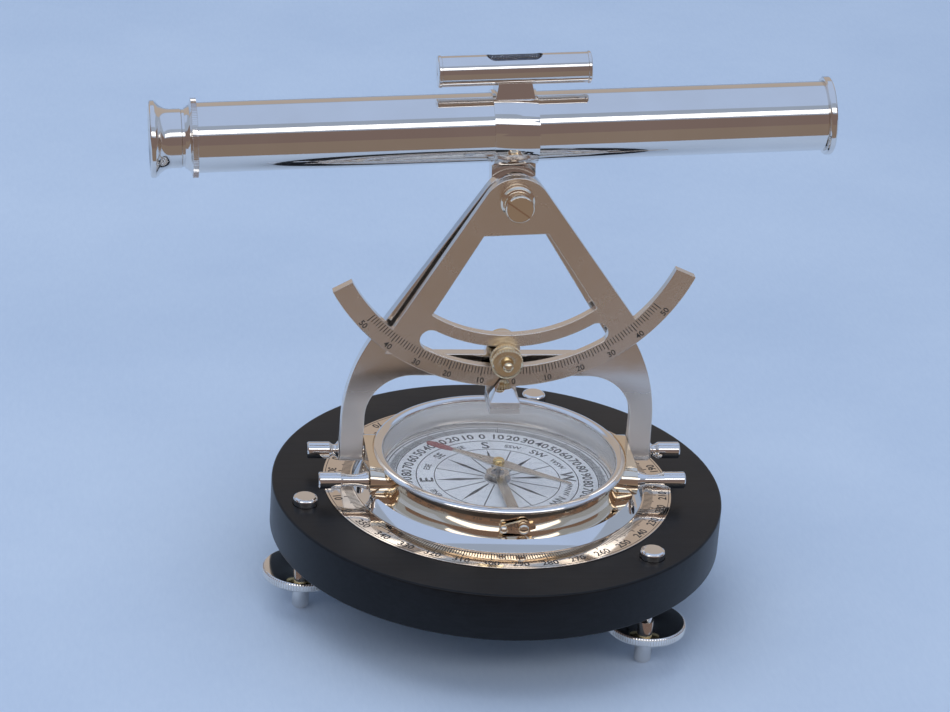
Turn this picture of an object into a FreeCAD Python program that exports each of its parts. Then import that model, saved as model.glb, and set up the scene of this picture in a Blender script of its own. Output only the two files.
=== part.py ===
import FreeCAD, Part
import os
import math

# Alidade compass: a surveyor's sighting telescope on a graduated vertical
# limb, carried by a tilting A-shaped frame over a compass bowl, on a wooden
# base with three levelling screws.
# Units are millimetres. The origin is on the floor under the base's axis,
# +X towards the telescope's objective end, +Z up.

doc = FreeCAD.newDocument("alidade_compass")
V = FreeCAD.Vector
sheet = doc.addObject("Spreadsheet::Sheet", "Params")

PARAMS = [
    # base
    ("base_radius", 120.75), ("base_bottom", 35.5), ("base_thick", 26.4),
    ("base_edge", 1.0), ("ring_radius", 93.5), ("ring_inner", 24.0),
    ("ring_thick", 0.8), ("centre_bore", 14.0), ("centre_bush_bore", 10.05),
    # levelling screws
    ("leveller_pitch_radius", 107.0), ("pin_radius", 4.6), ("pin_height", 19.2),
    ("wheel_radius", 21.0), ("wheel_bottom", 19.3), ("wheel_thick", 5.0),
    ("stem_radius", 4.0), ("cap_radius", 6.5), ("bush_radius", 8.2),
    ("bush_flange_radius", 10.0), ("cap_well_depth", 6.0),
    # turntable and compass bowl
    ("plate_bottom", 62.75), ("plate_top", 68.3), ("plate_radius_low", 78.2),
    ("plate_radius_top", 73.0), ("card_radius", 61.3), ("card_bottom", 64.9),
    ("card_thick", 0.5), ("bowl_outer", 65.0), ("bowl_inner", 62.2),
    ("bezel_outer", 67.8), ("bezel_inner", 61.9), ("bezel_bottom", 79.8),
    ("bezel_top", 82.3), ("glass_thick", 1.2), ("needle_height", 74.4),
    ("needle_half", 43.3), ("needle_thick", 0.8),
    # lugs and thumbscrews
    ("lug_outer", 71.4), ("lug_radius", 8.4), ("screw_offset", 17.3),
    ("screw_height", 73.5), ("thumb_radius", 3.75), ("thumb_head", 12.6),
    ("thumb_shank", 2.5),
    # arch frame
    ("arch_front", 13.65), ("arch_thick", 6.3), ("foot_radius", 5.6),
    ("clamp_height", 135.1), ("clamp_boss", 9.3), ("clamp_stud", 2.9),
    ("clamp_knob_radius", 8.6),
    # limb and telescope
    ("pivot_height", 225.0), ("limb_front", 5.25), ("limb_thick", 5.0),
    ("tube_axis_depth", 25.2), ("tube_axis_rise", 33.3), ("tube_radius", 18.15),
    ("tube_bore", 16.6), ("level_rise", 65.0), ("level_radius", 8.0),
    ("rest_elevation", 3.0), ("draw_radius", 14.9), ("draw_bore", 14.95),
]
VAL = {}
for row, (alias, value) in enumerate(PARAMS, start=1):
    sheet.set("A%d" % row, alias)
    sheet.set("B%d" % row, str(value))
    sheet.setAlias("B%d" % row, alias)
    VAL[alias] = value
doc.recompute()

NODES = {}


def ex(obj, prop, expr):
    obj.setExpression(prop, expr)


def q(text):
    """Turn alias words into spreadsheet references."""
    out, word = "", ""
    for ch in str(text) + " ":
        if ch.isalnum() or ch == "_" or ch == ".":
            word += ch
        else:
            if word in VAL:
                out += "Params." + word
            else:
                out += word
            out += ch
            word = ""
    return out.strip()


def setp(obj, prop, value):
    if isinstance(value, str):
        ex(obj, prop, q(value))
    else:
        setattr(obj, prop, value)


ROT = {
    "Z": FreeCAD.Rotation(),
    "X": FreeCAD.Rotation(V(0, 1, 0), 90),
    "Y": FreeCAD.Rotation(V(1, 0, 0), -90),
}


def place(obj, base, rot):
    """base entries are numbers or expressions in the sheet's words."""
    nums = [b if not isinstance(b, str) else 0.0 for b in base]
    obj.Placement = FreeCAD.Placement(V(*nums), rot)
    for key, b in zip("xyz", base):
        if isinstance(b, str):
            ex(obj, ".Placement.Base." + key, q(b))


def cyl(name, r, h, base=(0, 0, 0), axis="Z"):
    o = doc.addObject("Part::Cylinder", name)
    setp(o, "Radius", r)
    setp(o, "Height", h)
    place(o, base, ROT[axis])
    return o


def box(name, dims, base):
    o = doc.addObject("Part::Box", name)
    for prop, d in zip(("Length", "Width", "Height"), dims):
        setp(o, prop, d)
    place(o, base, FreeCAD.Rotation())
    return o


def ball(name, r, base):
    o = doc.addObject("Part::Sphere", name)
    setp(o, "Radius", r)
    place(o, base, FreeCAD.Rotation())
    return o


def fuse(name, *objs):
    o = doc.addObject("Part::MultiFuse", name)
    o.Shapes = list(objs)
    o.Refine = True
    return o


def cut(name, a, b):
    o = doc.addObject("Part::Cut", name)
    o.Base = a
    o.Tool = b
    o.Refine = True
    return o


def common(name, *objs):
    o = doc.addObject("Part::MultiCommon", name)
    o.Shapes = list(objs)
    return o


def group(name, *objs):
    o = doc.addObject("Part::Compound", name)
    o.Links = list(objs)
    return o


def add_loops(sk, loops):
    for loop in loops:
        for seg in loop:
            if seg[0] == "C":
                _, c, r = seg
                sk.addGeometry(Part.Circle(V(c[0], c[1], 0), V(0, 0, 1), r), False)
            elif seg[0] == "L":
                _, a, b = seg
                sk.addGeometry(Part.LineSegment(V(a[0], a[1], 0), V(b[0], b[1], 0)), False)
            else:
                # arc about c from angle a0 to a1 (degrees), counter-clockwise
                _, c, r, a0, a1 = seg
                sk.addGeometry(Part.ArcOfCircle(
                    Part.Circle(V(c[0], c[1], 0), V(0, 0, 1), r),
                    math.radians(a0), math.radians(a1)), False)


def poly(pts):
    n = len(pts)
    return [("L", pts[i], pts[(i + 1) % n]) for i in range(n)]


def sketch_on(body, name, plane):
    sk = body.newObject("Sketcher::SketchObject", name)
    for o in body.Origin.OriginFeatures:
        if o.Role == plane:
            sk.AttachmentSupport = [(o, "")]
    sk.MapMode = "FlatFace"
    return sk


def turned(name, pts, base=(0, 0, 0), axis="Z"):
    """A PartDesign body turned about an axis; pts are (radius, height)."""
    body = doc.addObject("PartDesign::Body", name)
    sk = sketch_on(body, name + "_profile", "XZ_Plane")
    add_loops(sk, [poly(pts)] if not isinstance(pts[0][0], str) else [pts])
    rev = body.newObject("PartDesign::Revolution", name + "_turn")
    rev.Profile = sk
    rev.ReferenceAxis = (sk, ["V_Axis"])
    rev.Angle = 360.0
    body.Tip = rev
    place(body, base, ROT[axis])
    return body


# A plate drawn in the XZ plane and padded towards +Y.
def plate_xz(name, loops, thick, y0, x0=0.0, z0=0.0, rot=None):
    body = doc.addObject("PartDesign::Body", name)
    sk = sketch_on(body, name + "_profile", "XZ_Plane")
    add_loops(sk, loops)
    pad = body.newObject("PartDesign::Pad", name + "_pad")
    pad.Profile = sk
    setp(pad, "Length", thick)
    pad.Reversed = True
    body.Tip = pad
    place(body, (x0, y0, z0), rot or FreeCAD.Rotation())
    return body


def node(name, obj):
    NODES[name] = obj
    return obj


def pol(r, deg, z=None):
    a = math.radians(deg)
    return (r * math.cos(a), r * math.sin(a)) if z is None else (r * math.cos(a), r * math.sin(a), z)


# ----------------------------------------------------------------- base
LEVELLERS = (("left", 191.4), ("right", 311.4), ("rear", 71.4))
R_LEV = VAL["leveller_pitch_radius"]

wood = turned("base_turned", [
    (0, 35.5), (119.75, 35.5), (120.75, 36.5), (120.75, 60.9), (119.75, 61.9), (0, 61.9)])
wood_holes = [cyl("base_centre_hole", "centre_bore", "base_thick + 2", (0, 0, "base_bottom - 1"))]
for nm, ang in LEVELLERS:
    x, y = pol(R_LEV, ang)
    wood_holes.append(cyl("base_hole_" + nm, "bush_radius", 21.4, (x, y, "base_bottom - 1")))
    wood_holes.append(cyl("base_well_" + nm, 6.75, "base_thick + 2", (x, y, "base_bottom - 1")))
node("base_disc", cut("base_disc", wood, fuse("base_holes", *wood_holes)))

node("azimuth_ring", cut(
    "azimuth_ring",
    cyl("ring_disc", "ring_radius", "ring_thick", (0, 0, "base_bottom + base_thick")),
    cyl("ring_hole", "ring_inner", 4, (0, 0, "base_bottom + base_thick - 1"))))

node("centre_bush", turned("centre_bush", [
    (10.05, 34.3), (18.0, 34.3), (18.0, 35.5), (14.0, 35.5), (14.0, 61.9),
    (18.0, 61.9), (18.0, 62.7), (10.05, 62.7)]))

bush_pts = [
    (4.05, 35.5), (8.2, 35.5), (8.2, 55.9), (4.05, 55.9)]
bushes = []
for nm, ang in LEVELLERS:
    x, y = pol(R_LEV, ang)
    bushes.append(turned("leveller_bush_" + nm, bush_pts, (x, y, 0)))
node("leveller_bushes", group("leveller_bushes", *bushes))

# -------------------------------------------------------- levelling screws
for nm, ang in LEVELLERS:
    x, y = pol(R_LEV, ang)
    # the foot: a hard pin with a rounded end, a neck and a swivel ball
    node("foot_pin_" + nm, turned("foot_pin_" + nm, [
        (0, 0), (3.4, 0), (4.6, 1.4), (4.6, 19.2), (2.4, 19.2), (2.4, 22.2), (0, 22.2)], (x, y, 0)))
    node("leveller_wheel_" + nm, turned("leveller_wheel_" + nm, [
        (4.0, 19.3), (20.2, 19.3), (21.0, 20.1), (21.0, 23.5), (20.2, 24.3), (4.0, 24.3)], (x, y, 0)))
    stem = turned("leveller_stem_solid_" + nm, [
        (0, 22.3), (2.45, 22.3), (2.45, 19.3), (4.0, 19.3), (4.0, 61.4), (6.5, 61.4), (6.5, 65.2),
        (6.1, 65.9), (5.3, 66.3), (0, 66.4)], (x, y, 0))
    node("leveller_stem_" + nm, stem)

# ------------------------------------------------------------- turntable
node("turntable_plate", turned("turntable_plate", [
    (10.0, 62.75), (77.9, 62.75), (78.2, 63.1), (73.0, 68.3), (61.3, 68.3), (61.3, 64.9), (10.0, 64.9)]))
node("spindle", turned("spindle", [
    (0, 26.0), (6.0, 26.0), (6.0, 33.0), (10.0, 33.0), (10.0, 64.9), (0, 64.9)]))
# thrust washer and castle nut that hold the turntable down on the base
node("spindle_nut", turned("spindle_nut", [
    (6.0, 27.5), (13.0, 27.5), (13.0, 32.4), (17.0, 32.4), (17.0, 34.2), (10.0, 34.2), (10.0, 33.0), (6.0, 33.0)]))
node("dial_card", cyl("dial_card", "card_radius", "card_thick", (0, 0, "card_bottom")))
node("bowl_shell", turned("bowl_shell", [
    (62.2, 68.3), (65.0, 68.3), (65.0, 79.8), (62.2, 79.8)]))
node("bowl_bezel", turned("bowl_bezel", [
    (61.9, 79.8), (67.3, 79.8), (67.8, 80.3), (67.8, 81.6), (67.1, 82.3), (62.3, 82.3), (61.9, 81.9)]))
node("bowl_glass", cyl("bowl_glass", "bowl_inner", "glass_thick", (0, 0, "bezel_bottom - glass_thick")))
node("needle_pivot", turned("needle_pivot", [
    (0, 65.4), (7.0, 65.4), (7.0, 66.2), (3.2, 67.2), (1.4, 68.4), (1.0, 73.6), (0.15, 75.9), (0, 75.9)]))

for side, sx in (("left", -1), ("right", 1)):
    # a bar with rounded ends, standing against the bowl and on the plate
    x_in = 56.0
    bar_base = "lug_outer" if sx < 0 else x_in
    x0 = -VAL["lug_outer"] if sx < 0 else x_in
    length = VAL["lug_outer"] - x_in
    mid = box("lug_mid_" + side, (length, "2 * screw_offset", "2 * lug_radius"),
              (x0, "-screw_offset", "screw_height - lug_radius"))
    ends = [cyl("lug_end_%s_%d" % (side, i), "lug_radius", length,
                (x0, "%s screw_offset" % ("-" if i else "+0 +"), "screw_height"), "X") for i in (0, 1)]
    bar = fuse("lug_bar_" + side, mid, *ends)
    tools = [cyl("lug_bowl_" + side, "bowl_outer", 40, (0, 0, 50)),
             cyl("lug_bezel_" + side, "bezel_outer", 10, (0, 0, "bezel_bottom")),
             cyl("lug_plate_" + side, 90, 12, (0, 0, "plate_top - 12"))]
    for i, s in enumerate((-1, 1)):
        tools.append(cyl("lug_hole_%s_%d" % (side, i), 2.55, 30,
                         (x0 - 5 if sx < 0 else x_in - 5, s * 17.3, "screw_height"), "X"))
    node("lug_" + side, cut("lug_" + side, bar, fuse("lug_tools_" + side, *tools)))

# a small screw in the front of the bowl's wall carries the needle lock lever
LX, LZ = 4.0, 72.5
node("lock_lever_screw", turned("lock_lever_screw", [
    (0, 64.0), (1.2, 64.0), (1.2, 68.35), (2.8, 68.35), (2.8, 70.2), (2.3, 71.0), (1.2, 71.5), (0, 71.5)],
    (LX, 0.0, LZ), "Y"))
# the screw's axis runs along Y, out through the front of the wall
doc.getObject("lock_lever_screw").Placement = FreeCAD.Placement(
    V(LX, 0.0, LZ), FreeCAD.Rotation(V(1, 0, 0), 90))
NODES["bowl_shell"] = cut("bowl_shell_drilled", NODES["bowl_shell"],
                          cyl("lock_lever_hole", 1.2, 10, (LX, -70.0, LZ), "Y"))

lever = fuse(
    "lock_lever_body",
    cyl("lever_hub", 4.0, 2.2, (LX, -68.2, LZ), "Y"),
    plate_xz("lever_arm", [poly([(3.0, 68.75), (3.0, 76.3), (-6.2, 73.7), (-6.2, 69.6)])], 1.6, -68.0),
    plate_xz("lever_tail", [poly([(4.0, 69.4), (4.0, 75.6), (10.6, 73.3), (10.6, 71.9)])], 1.6, -68.0),
    ball("lever_ball", 2.4, (-6.2, -68.0, 71.6)))
node("lock_lever", cut("lock_lever", lever, cyl("lever_bore", 1.25, 10, (LX, -72.0, LZ), "Y")))

# the arm inside the bowl that lifts the needle off its point
arm_body = doc.addObject("PartDesign::Body", "lift_arm_blank")
sk = sketch_on(arm_body, "lift_arm_profile", "XY_Plane")
add_loops(sk, [poly([(-2.4, -4.0), (2.6, -4.0), (8.0, -64.0), (1.0, -64.0)])])
pad = arm_body.newObject("PartDesign::Pad", "lift_arm_pad")
pad.Profile = sk
setp(pad, "Length", 0.8)
arm_body.Tip = pad
arm_body.Placement = FreeCAD.Placement(V(0, 0, 68.5), FreeCAD.Rotation())
arm_in = common("lift_arm_in", arm_body, cyl("lift_arm_limit", "bowl_inner", 4, (0, 0, 67.0)))
node("lift_arm", cut("lift_arm", fuse("lift_arm_solid", arm_in, cyl("lift_arm_eye", 6.2, 0.8, (0, 0, 68.5))),
                     cyl("lift_arm_hole", 3.6, 4, (0, 0, 67.0))))

# ---------------------------------------------------------------- needle
NEEDLE_ANG = 326.1
blade = doc.addObject("PartDesign::Body", "needle_blank")
sk = sketch_on(blade, "needle_profile", "XY_Plane")
half = [(43.3, 0), (42.9, 0.8), (41.8, 1.1), (30.0, 1.7), (12.0, 3.0), (5.5, 4.0), (-5.5, 4.0), (-12.0, 2.8),
        (-28.5, 1.35), (-31.0, 2.0), (-41.0, 2.1), (-42.8, 1.4), (-43.3, 0)]
add_loops(sk, [poly(half + [(u, -v) for u, v in reversed(half[1:-1])])])
pad = blade.newObject("PartDesign::Pad", "needle_pad")
pad.Profile = sk
setp(pad, "Length", "needle_thick")
blade.Tip = pad
blade.Placement = FreeCAD.Placement(V(0, 0, VAL["needle_height"]), FreeCAD.Rotation(V(0, 0, 1), NEEDLE_ANG))
node("needle_blade", cut("needle_blade", blade, cyl("needle_eye", 2.0, 4, (0, 0, 73.0))))
node("needle_cap", turned("needle_cap", [
    (1.5, 73.6), (3.15, 73.6), (3.15, 74.4), (2.0, 74.4), (2.0, 75.2), (3.15, 75.2), (3.15, 76.6),
    (2.4, 77.4), (0, 77.6), (0, 76.0), (0.5, 76.0), (1.5, 74.4)]))

# ----------------------------------------------------------- arch frame
PH = VAL["pivot_height"]
CH = VAL["clamp_height"]
th = 32.6
ca, sa = math.cos(math.radians(th)), math.sin(math.radians(th))
cxa, cza, ra = -10.8, 92.0, 95.0
tx, tz = cxa + ra * ca, cza + ra * sa
ax_z, ax_r = 219.4, 0.0
# the apex arc is tangent to both straight legs
dist = (tx * ca + (tz - ax_z) * sa)
ax_r = dist
px, pz = ax_r * ca, ax_z + ax_r * sa
outer = [
    ("L", (84.2, 73.5), (84.2, cza)),
    ("A", (cxa, cza), ra, 0, th),
    ("L", (tx, tz), (px, pz)),
    ("A", (0, ax_z), ax_r, th, 180 - th),
    ("L", (-px, pz), (-tx, tz)),
    ("A", (-cxa, cza), ra, 180 - th, 180),
    ("L", (-84.2, cza), (-84.2, 73.5)),
    ("L", (-84.2, 73.5), (-71.8, 73.5)),
    ("L", (-71.8, 73.5), (-71.8, 94.8)),
    ("A", (-46.8, 94.8), 25.0, 90, 180),
    ("L", (-46.8, 119.8), (46.8, 119.8)),
    ("A", (46.8, 94.8), 25.0, 0, 90),
    ("L", (71.8, 94.8), (71.8, 73.5)),
    ("L", (71.8, 73.5), (84.2, 73.5)),
]
w_top, w_bot = 205.3, 132.6
hw_top = 15.9
hw_bot = hw_top + (w_top - w_bot) * math.tan(math.radians(th))
window = [
    ("L", (hw_top, w_top), (-hw_top, w_top)),
    ("L", (-hw_top, w_top), (-hw_bot, w_bot)),
    ("L", (-hw_bot, w_bot), (-9.3, w_bot)),
    ("L", (-9.3, w_bot), (-9.3, CH)),
    ("A", (0, CH), 9.3, 0, 180),
    ("L", (9.3, CH), (9.3, w_bot)),
    ("L", (9.3, w_bot), (hw_bot, w_bot)),
    ("L", (hw_bot, w_bot), (hw_top, w_top)),
]
arch_plate = plate_xz("arch_plate", [outer, window, [("C", (0, PH), 9.0)], [("C", (0, CH), 2.95)]],
                      "arch_thick", "arch_front")
arch_bits = [arch_plate]
for side, sx in (("left", -1), ("right", 1)):
    x0 = -84.2 if sx < 0 else 71.8
    arch_bits.append(cyl("foot_boss_" + side, "foot_radius", 12.4, (x0, "screw_offset", "screw_height"), "X"))
    wedge = doc.addObject("Part::Wedge", "foot_taper_" + side)
    # rises from the boss's full depth to the plate's depth
    wedge.Xmin, wedge.Xmax = 0.0, 12.4
    wedge.Zmin, wedge.Zmax = 0.0, 11.2
    wedge.Ymin, wedge.Ymax = 0.0, 15.0
    wedge.X2min, wedge.X2max = 0.0, 12.4
    wedge.Z2min, wedge.Z2max = 2.95, 9.25
    # local Y becomes up, local Z becomes -Y
    wedge.Placement = FreeCAD.Placement(V(x0, 22.9, 73.5), FreeCAD.Rotation(V(1, 0, 0), 90))
    arch_bits.append(wedge)
arch_solid = fuse("arch_solid", *arch_bits)
foot_holes = [cyl("foot_hole_left", 2.6, 20, (-88, "screw_offset", "screw_height"), "X"),
              cyl("foot_hole_right", 2.6, 20, (68, "screw_offset", "screw_height"), "X")]
node("arch_frame", cut("arch_frame", arch_solid, fuse("foot_holes", *foot_holes)))

# the index: a bracket screwed to the crossbar and a tapered pointer on it
bracket = fuse("bracket_block",
               box("bracket_foot", (16.3, 19.65, 6.5), (-8.15, -6.0, 107.0)),
               box("bracket_back", (16.3, 2.8, 18.0), (-8.15, 10.85, 107.0)))
bracket_holes = fuse("bracket_holes",
                     cyl("bracket_hole_a", 1.5, 8, (-5.0, 8.0, 122.4), "Y"),
                     cyl("bracket_hole_b", 1.5, 8, (5.0, 8.0, 122.4), "Y"))
node("index_bracket", cut("index_bracket", bracket, bracket_holes))
pointer = doc.addObject("Part::Wedge", "index_pointer")
pointer.Xmin, pointer.Xmax = -7.85, 7.85
pointer.Zmin, pointer.Zmax = -4.0, 6.0
pointer.Ymin, pointer.Ymax = 0.0, 9.2
pointer.X2min, pointer.X2max = -1.8, 1.8
pointer.Z2min, pointer.Z2max = -4.0, -3.6
pointer.Placement = FreeCAD.Placement(V(0, 0, 113.5), FreeCAD.Rotation(V(1, 0, 0), 90))
node("index_pointer", pointer)
node("index_screws", group(
    "index_screws",
    *[turned("index_screw_%d" % i, [(0, 10.45), (2.4, 10.45), (2.4, 10.85), (1.5, 10.85), (1.5, 13.65), (0, 13.65)],
             (sx * 5.0, 0, 122.4), "Y") for i, sx in enumerate((-1, 1))]))

node("clamp_bolt", turned("clamp_bolt", [
    (0, -9.2), (1.6, -9.0), (2.6, -8.3), (2.9, -7.4), (2.9, 19.95), (8.1, 19.95), (8.6, 20.45),
    (8.6, 22.4), (8.0, 23.0), (0, 23.0)], (0, 0, "clamp_height"), "Y"))
node("clamp_knob", turned("clamp_knob", [
    (2.98, -4.75), (7.6, -4.75), (8.6, -3.9), (8.6, -1.2), (7.4, -0.3), (7.4, 0.5), (8.6, 1.4), (8.6, 4.2),
    (7.6, 5.1), (2.98, 5.1)], (0, 0, "clamp_height"), "Y"))

# ----------------------------------------------------------- thumbscrews
def thumb(name, side, y, x_face, head_out, shank_in):
    """Turned along X: shank into the lug, concave neck, milled head."""
    s = 1 if side == "right" else -1
    h0 = head_out - 12.6
    neck = h0 - x_face
    pts = [(0, shank_in), (2.5, shank_in), (2.5, x_face), (4.9, x_face), (4.9, x_face + 0.10 * neck),
           (3.9, x_face + 0.28 * neck), (3.15, x_face + 0.5 * neck), (3.3, x_face + 0.75 * neck), (4.0, h0),
           (4.5, h0 + 0.8), (4.5, head_out - 0.8), (3.9, head_out), (0, head_out)]
    body = turned(name, pts, (0, 0, 0), "Z")
    body.Placement = FreeCAD.Placement(V(0, y, 73.5), FreeCAD.Rotation(V(0, 1, 0), 90 * s))
    return body


for side in ("left", "right"):
    node("front_screw_" + side, thumb("front_screw_" + side, side, -17.3, 71.7, 98.2, 67.5))
    node("rear_screw_" + side, thumb("rear_screw_" + side, side, 17.3, 84.5, 101.3, 67.5))

# --------------------------------------------------- limb and telescope
REST = VAL["rest_elevation"]


def limb_place(y0):
    """The limb's own frame: u along the telescope, w up, origin at the pivot."""
    return FreeCAD.Placement(V(0, y0, PH), FreeCAD.Rotation(V(0, -1, 0), REST))


def fix(obj, y0=0.0):
    p = obj.Placement
    obj.Placement = limb_place(y0).multiply(p)
    return obj


def lpt(r, deg):
    """Point at radius r, deg measured from straight down towards +u."""
    a = math.radians(deg)
    return (r * math.sin(a), -r * math.cos(a))


def arc_down(r, d0, d1):
    """Arc about the pivot from d0 to d1, degrees from straight down."""
    return ("A", (0, 0), r, d0 - 90, d1 - 90)


R_OUT, R_ARC, R_SLOT, R_UP = 107.4, 95.7, 84.1, 77.2
HALF = 63.4
leg = 42.15
lt = 33.1
lca, lsa = math.cos(math.radians(lt)), math.sin(math.radians(lt))
# straight outer edge from the arc's inner radius up to the apex circle
lx, lz = lpt(R_ARC, leg)
ar = lx * lca + (lz + 5.6) * lsa
apx, apz = ar * lca, -5.6 + ar * lsa
limb_outer = [
    arc_down(R_OUT, -HALF, HALF),
    ("L", lpt(R_OUT, HALF), lpt(R_ARC, HALF)),
    arc_down(R_ARC, leg, HALF),
    ("L", (lx, lz), (apx, apz)),
    ("A", (0, -5.6), ar, lt, 180 - lt),
    ("L", (-apx, apz), (-lx, lz)),
    arc_down(R_ARC, -HALF, -leg),
    ("L", lpt(R_ARC, -HALF), lpt(R_OUT, -HALF)),
]
sm = (R_ARC + R_SLOT) / 2.0
sr = (R_ARC - R_SLOT) / 2.0
sc = 29.5
c_r = lpt(sm, sc)
c_l = lpt(sm, -sc)
limb_slot = [
    arc_down(R_ARC, -sc, sc),
    ("A", c_r, sr, sc - 90, sc + 90),
    arc_down(R_SLOT, -sc, sc),
    ("A", c_l, sr, 90 - sc, 270 - sc),
]
tw = 34.4
t_r, t_l = lpt(R_UP, tw), lpt(R_UP, -tw)
limb_window = [
    ("L", (-16.8, -19.7), (16.8, -19.7)),
    ("L", (16.8, -19.7), t_r),
    arc_down(R_UP, -tw, tw),
    ("L", t_l, (-16.8, -19.7)),
]
node("limb_sector", fix(plate_xz("limb_sector", [limb_outer, limb_slot, limb_window, [("C", (0, 0), 4.0)]],
                                 "limb_thick", 0.0), VAL["limb_front"]))

node("pivot_hub", fix(turned("pivot_hub", [
    (4.0, 10.25), (12.6, 10.25), (13.0, 10.65), (13.0, 13.55), (8.95, 13.55), (8.95, 20.35), (4.0, 20.35)],
    (0, 0, 0), "Y")))
screw_solid = turned("pivot_screw_solid", [
    (0, -7.0), (6.6, -7.0), (7.5, -6.1), (7.5, -0.6), (6.5, -0.1), (6.5, 1.1), (7.9, 1.6), (9.0, 2.4),
    (9.0, 5.25), (4.0, 5.25), (4.0, 27.5), (0, 27.5)], (0, 0, 0), "Y")
screw_slot = box("pivot_screw_slot", (20, 2.2, 1.8), (-10, -7.6, -0.9))
screw_slot.Placement = FreeCAD.Placement(V(0, 0, 0), FreeCAD.Rotation(V(0, 1, 0), 38)).multiply(screw_slot.Placement)
node("pivot_screw", fix(cut("pivot_screw", screw_solid, screw_slot)))

TA = VAL["tube_axis_depth"]
TR = VAL["tube_axis_rise"]


def along_u(name, pts, y=TA, w=TR):
    """Turned about the telescope's axis; pts are (radius, u)."""
    body = turned(name, pts)
    body.Placement = limb_place(0.0).multiply(
        FreeCAD.Placement(V(0, y, w), FreeCAD.Rotation(V(0, 1, 0), 90)))
    return body


# saddle: block from the pivot up to a band round the tube
blk = box("saddle_block", (23.0, 9.9, TR), (-11.5, 20.35, 0.0))
rnd = cyl("saddle_round", 11.5, 9.9, (0, 20.35, 0), "Y")
band = cyl("saddle_band", 19.6, 23.1, (-11.55, TA, TR), "X")
saddle_solid = fuse("saddle_solid", blk, rnd, band)
saddle_bore = fuse("saddle_bores",
                   cyl("saddle_tube_bore", "tube_radius", 40, (-20, TA, TR), "X"),
                   cyl("saddle_screw_bore", 4.0, 7.15, (0, 20.35, 0), "Y"))
node("telescope_saddle", fix(cut("telescope_saddle", saddle_solid, saddle_bore)))

node("telescope_tube", along_u("telescope_tube", [
    (16.6, -163.7), (18.15, -163.7), (18.15, 165.5), (16.6, 165.5)]))
node("objective_ring", along_u("objective_ring", [
    (18.15, 163.5), (20.0, 163.5), (20.5, 164.2), (20.5, 166.7), (20.0, 167.3), (19.3, 167.5), (16.0, 167.5),
    (15.4, 166.9), (15.4, 165.5), (18.15, 165.5)]))
node("objective_lens", along_u("objective_lens", [
    (0, 159.2), (5.5, 159.5), (11.0, 160.4), (16.6, 161.9), (16.6, 164.3), (11.0, 165.0), (5.5, 165.5), (0, 165.7)]))
node("eyepiece_flange", along_u("eyepiece_flange", [
    (14.95, -170.2), (15.4, -170.2), (16.0, -169.0), (17.4, -167.6), (19.6, -166.6), (20.3, -166.5), (20.5, -166.2),
    (20.5, -164.0), (20.3, -163.7), (16.6, -163.7), (16.6, -150.0), (14.95, -150.0)]))

# eyepiece, sliding in the flange
node("draw_tube", along_u("draw_tube", [
    (13.2, -171.5), (14.9, -171.5), (14.9, -141.0), (13.2, -141.0)]))
node("eyepiece_cup", along_u("eyepiece_cup", [
    (6.0, -183.4), (9.5, -184.2), (13.4, -185.8), (16.6, -188.0), (19.4, -188.0), (19.95, -187.4), (19.95, -185.1),
    (19.3, -184.4), (17.6, -182.6), (16.1, -180.4), (15.35, -178.0), (15.3, -177.0), (15.3, -172.0),
    (14.9, -171.5), (10.0, -171.5), (10.0, -178.0), (6.0, -178.0)]))
node("eye_lens", along_u("eye_lens", [
    (0, -178.6), (5.9, -178.0), (10.0, -178.0), (10.0, -176.0), (5.0, -175.2), (0, -174.9)]))

# level on top of the telescope
LW = VAL["level_rise"]
sad = doc.addObject("Part::Wedge", "level_saddle_blank")
sad.Xmin, sad.Xmax = -11.5, 11.5
sad.Zmin, sad.Zmax = -9.0, 9.0
sad.Ymin, sad.Ymax = 0.0, 20.0
sad.X2min, sad.X2max = -7.5, 7.5
sad.Z2min, sad.Z2max = -5.0, 5.0
sad.Placement = FreeCAD.Placement(V(0, TA, 45.0), FreeCAD.Rotation(V(1, 0, 0), 90))
node("level_saddle", fix(cut("level_saddle", sad, fuse(
    "level_saddle_tools",
    cyl("level_saddle_low", 19.6, 40, (-20, TA, TR), "X"),
    cyl("level_saddle_high", "level_radius", 60, (-30, TA, LW), "X")))))

lt_solid = cyl("level_tube_solid", "level_radius", 75.5, (-37.75, TA, LW), "X")
lt_bore = cyl("level_tube_bore", 6.2, 80, (-40, TA, LW), "X")
win = fuse("level_window",
           box("level_window_mid", (20.0, 9.0, 12.0), (-10.0, TA - 4.5, LW)),
           cyl("level_window_a", 4.5, 12.0, (-10.0, TA, LW)),
           cyl("level_window_b", 4.5, 12.0, (10.0, TA, LW)))
node("level_tube", fix(cut("level_tube", lt_solid, fuse("level_tube_tools", lt_bore, win))))
cap_pts = [(0, 37.75), (8.0, 37.75), (8.35, 38.1), (8.35, 39.2), (7.6, 39.75), (2.2, 39.75), (2.0, 39.5), (0, 39.5)]
caps = []
for i, s in enumerate((-1, 1)):
    c = turned("level_cap_%d" % i, cap_pts)
    c.Placement = FreeCAD.Placement(V(0, TA, LW), FreeCAD.Rotation(V(0, 1, 0), 90 * s))
    caps.append(c)
node("level_end_caps", fix(group("level_end_caps", *caps)))
vial_solid = cyl("level_vial_solid", 6.2, 70, (-35, TA, LW), "X")
vial_bore = cyl("level_vial_bore", 5.2, 66, (-33, TA, LW), "X")
node("level_vial", fix(cut("level_vial", vial_solid, vial_bore)))
liquid = cyl("level_liquid_solid", 5.2, 66, (-33, TA, LW), "X")
bub = doc.addObject("Part::Ellipsoid", "level_bubble_hole")
bub.Radius1, bub.Radius2, bub.Radius3 = 1.5, 6.0, 3.2
bub.Angle1, bub.Angle2, bub.Angle3 = -90, 90, 360
bub.Placement = FreeCAD.Placement(V(0.8, TA, LW + 3.4), FreeCAD.Rotation())
node("level_liquid", fix(cut("level_liquid", liquid, bub)))

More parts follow.
